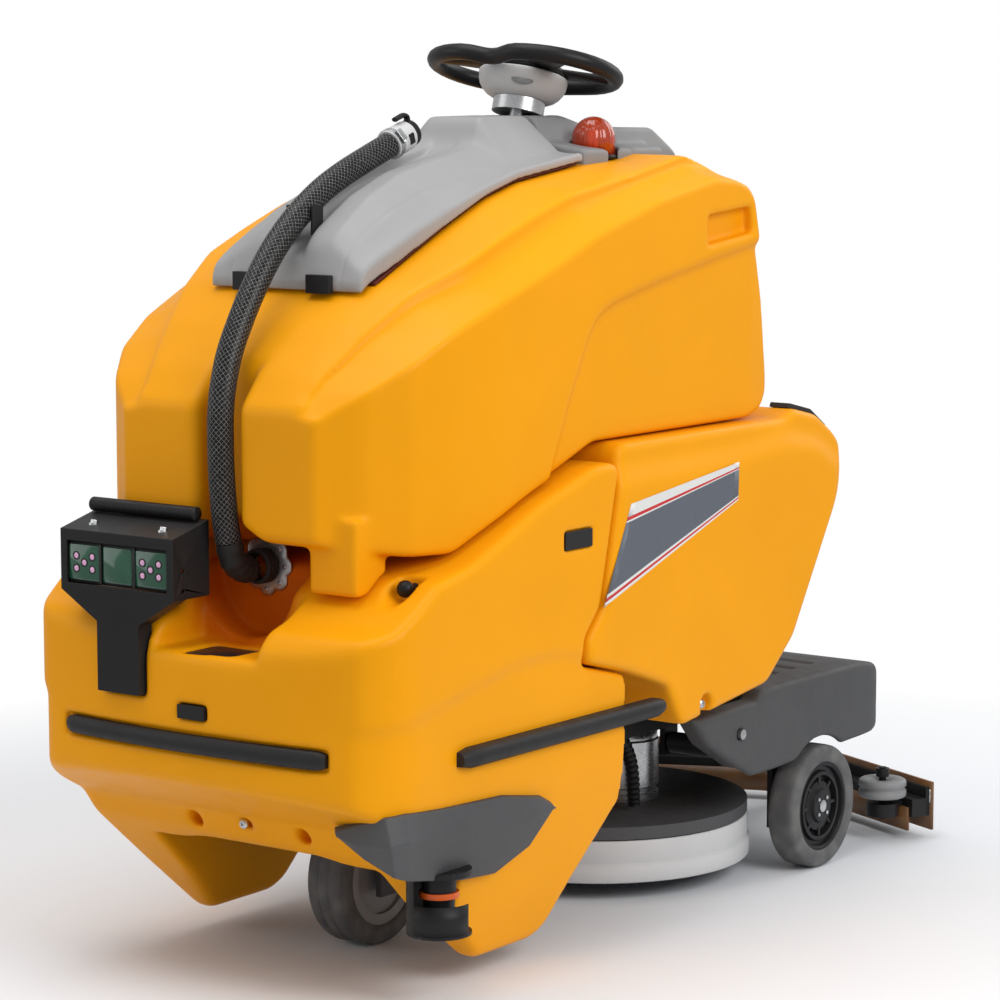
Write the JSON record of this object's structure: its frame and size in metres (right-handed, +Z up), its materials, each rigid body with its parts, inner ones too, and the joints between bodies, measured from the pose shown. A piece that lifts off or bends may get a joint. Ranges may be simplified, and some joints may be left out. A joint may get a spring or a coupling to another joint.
{
  "type": "stand-on floor scrubber",
  "caption": "Stand-on floor scrubber with moulded body, front sensor head, steering wheel, disc brush deck, curved squeegee and drain hose.",
  "frame": {"origin": "on the floor under the middle of the machine's bounding box", "axes": "+Z up, -Y towards the front with the sensor head, +X towards the machine's left side"},
  "size_m": [0.704, 1.6359, 1.3242],
  "materials": {
    "yellow_plastic": "moulded, fine texture",
    "grey_plastic": "moulded, satin",
    "dark_plastic": "moulded, coarse texture",
    "black_plastic": "moulded, satin",
    "light_plastic": "moulded, satin",
    "brush_plastic": "filaments",
    "red_plastic": "glossy",
    "orange_lens": "clear, ribbed inside",
    "orange_ring": "satin",
    "green_window": "glossy",
    "black_paint": "powder coat",
    "dark_paint": "powder coat",
    "steel": "brushed",
    "rubber": "matt",
    "grey_tyre": "matt, fine tread",
    "amber_rubber": "translucent",
    "bumper_rubber": "matt"
  },
  "bodies": {
    "machine": {"chassis_frame": "black_paint", "battery_pack": "black_plastic", "solution_tank": "yellow_plastic", "front_fairing": "yellow_plastic", "front_bumper_strip": "bumper_rubber", "side_bumper_strips": "bumper_rubber", "corner_guards": "bumper_rubber", "recovery_tank": "yellow_plastic", "vacuum_motor": "steel", "steering_console": "grey_plastic", "dash_panel": "black_plastic", "lid_hinge_pin": "steel", "beacon_base": "black_plastic", "beacon_dome": "orange_lens", "drain_flange": "steel", "drain_collar": "rubber", "sensor_bracket": "black_paint", "sensor_window": "green_window", "sensor_bar": "black_plastic", "proximity_windows": "black_plastic", "scanner_guard": "dark_plastic", "scanner_bracket": "black_paint", "scanner_unit": "black_plastic", "scanner_ring": "orange_ring", "platform": "dark_plastic", "axle_brackets": "black_paint", "body_screws": "steel", "steer_bearing": "steel"},
    "fill_cap": {"fill_cap": "black_plastic"},
    "latch_knob": {"tank_latch_knob": "black_plastic"},
    "stop_button": {"stop_button": "red_plastic"},
    "key_switch": {"key_switch": "steel"},
    "lid": {"lid": "grey_plastic", "lid_seal": "rubber", "hose_clip": "black_plastic", "lid_latches": "black_plastic"},
    "hose": {"drain_hose": "rubber", "hose_cuff": "light_plastic", "drain_plug": "black_plastic"},
    "steering": {"steering_wheel": "black_plastic", "steering_hub": "grey_plastic", "steering_shaft": "steel"},
    "drive_unit": {"drive_fork": "dark_paint", "drive_motor": "black_paint"},
    "drive_wheel": {"drive_hub": "grey_plastic", "drive_tyre": "grey_tyre"},
    "left_wheel": {"left_rear_wheel": "black_plastic", "left_rear_tyre": "grey_tyre"},
    "right_wheel": {"right_rear_wheel": "black_plastic", "right_rear_tyre": "grey_tyre"},
    "deck": {"deck_housing": "dark_plastic", "deck_skirt": "light_plastic", "brush_motor": "steel"},
    "brush": {"brush_disc": "dark_plastic", "brush_bristles": "brush_plastic"},
    "squeegee_arm": {"squeegee_arm": "dark_paint"},
    "squeegee": {"squeegee_body": "black_plastic", "squeegee_blades": "amber_rubber"},
    "left_roller": {"left_roller": "light_plastic"},
    "right_roller": {"right_roller": "light_plastic"}
  },
  "joints": [
    {"name": "fill_cap_turn", "type": "hinge", "parent": "machine", "child": "fill_cap", "pos_m": [0, 0.3, 0.75], "axis": [0, 0, 1], "range_deg": [0, 90]},
    {"name": "latch_pull", "type": "slide", "parent": "machine", "child": "latch_knob", "axis": [0, -1, 0], "range_m": [0, 0.012], "stiffness_N_per_m": 400, "springref_m": -0.01},
    {"name": "stop_press", "type": "slide", "parent": "machine", "child": "stop_button", "axis": [0, -0.6018, -0.7986], "range_m": [0, 0.004], "stiffness_N_per_m": 1500, "springref_m": -0.002},
    {"name": "key_turn", "type": "hinge", "parent": "machine", "child": "key_switch", "pos_m": [-0.078, 0.206, 1.1739], "axis": [0, 0.6018, 0.7986], "range_deg": [0, 60]},
    {"name": "lid_open", "type": "hinge", "parent": "machine", "child": "lid", "pos_m": [0, -0.088, 1.2], "axis": [-1, 0, 0], "range_deg": [0, 38]},
    {"name": "hose_swing", "type": "hinge", "parent": "machine", "child": "hose", "pos_m": [0.012, -0.69, 0.592], "axis": [1, 0, 0], "range_deg": [0, 76]},
    {"name": "steering_turn", "type": "hinge", "parent": "machine", "child": "steering", "pos_m": [0, -0.034, 1.214], "axis": [0, 0.2756, 0.9613], "range_deg": [-120, 120]},
    {"name": "drive_steer", "type": "hinge", "parent": "machine", "child": "drive_unit", "pos_m": [0, -0.41, 0.282], "axis": [0, 0, 1], "range_deg": [-60, 60]},
    {"name": "drive_spin", "type": "hinge", "parent": "drive_unit", "child": "drive_wheel", "pos_m": [0, -0.41, 0.105], "axis": [1, 0, 0], "continuous": true},
    {"name": "left_wheel_spin", "type": "hinge", "parent": "machine", "child": "left_wheel", "pos_m": [0.28, 0.395, 0.1], "axis": [1, 0, 0], "continuous": true},
    {"name": "right_wheel_spin", "type": "hinge", "parent": "machine", "child": "right_wheel", "pos_m": [-0.28, 0.395, 0.1], "axis": [1, 0, 0], "continuous": true},
    {"name": "deck_lift", "type": "slide", "parent": "machine", "child": "deck", "axis": [0, 0, 1], "range_m": [-0.022, 0.01]},
    {"name": "brush_spin", "type": "hinge", "parent": "deck", "child": "brush", "pos_m": [0, 0.183, 0.07], "axis": [0, 0, 1], "continuous": true},
    {"name": "squeegee_lift", "type": "hinge", "parent": "machine", "child": "squeegee_arm", "pos_m": [0, 0.482, 0.15], "axis": [1, 0, 0], "range_deg": [-2.6, 8]},
    {"name": "squeegee_swivel", "type": "hinge", "parent": "squeegee_arm", "child": "squeegee", "pos_m": [0, 0.745, 0.075], "axis": [0, 0, 1], "range_deg": [-15, 15]},
    {"name": "left_roller_spin", "type": "hinge", "parent": "squeegee", "child": "left_roller", "pos_m": [0.28182, 0.6234, 0.089], "axis": [0, 0, 1], "continuous": true},
    {"name": "right_roller_spin", "type": "hinge", "parent": "squeegee", "child": "right_roller", "pos_m": [-0.28182, 0.6234, 0.089], "axis": [0, 0, 1], "continuous": true}
  ],
  "couplings": [
    {"joint": "hose_swing", "follows": "lid_open", "ratio": 2},
    {"joint": "steering_turn", "follows": "drive_steer", "ratio": 2}
  ]
}
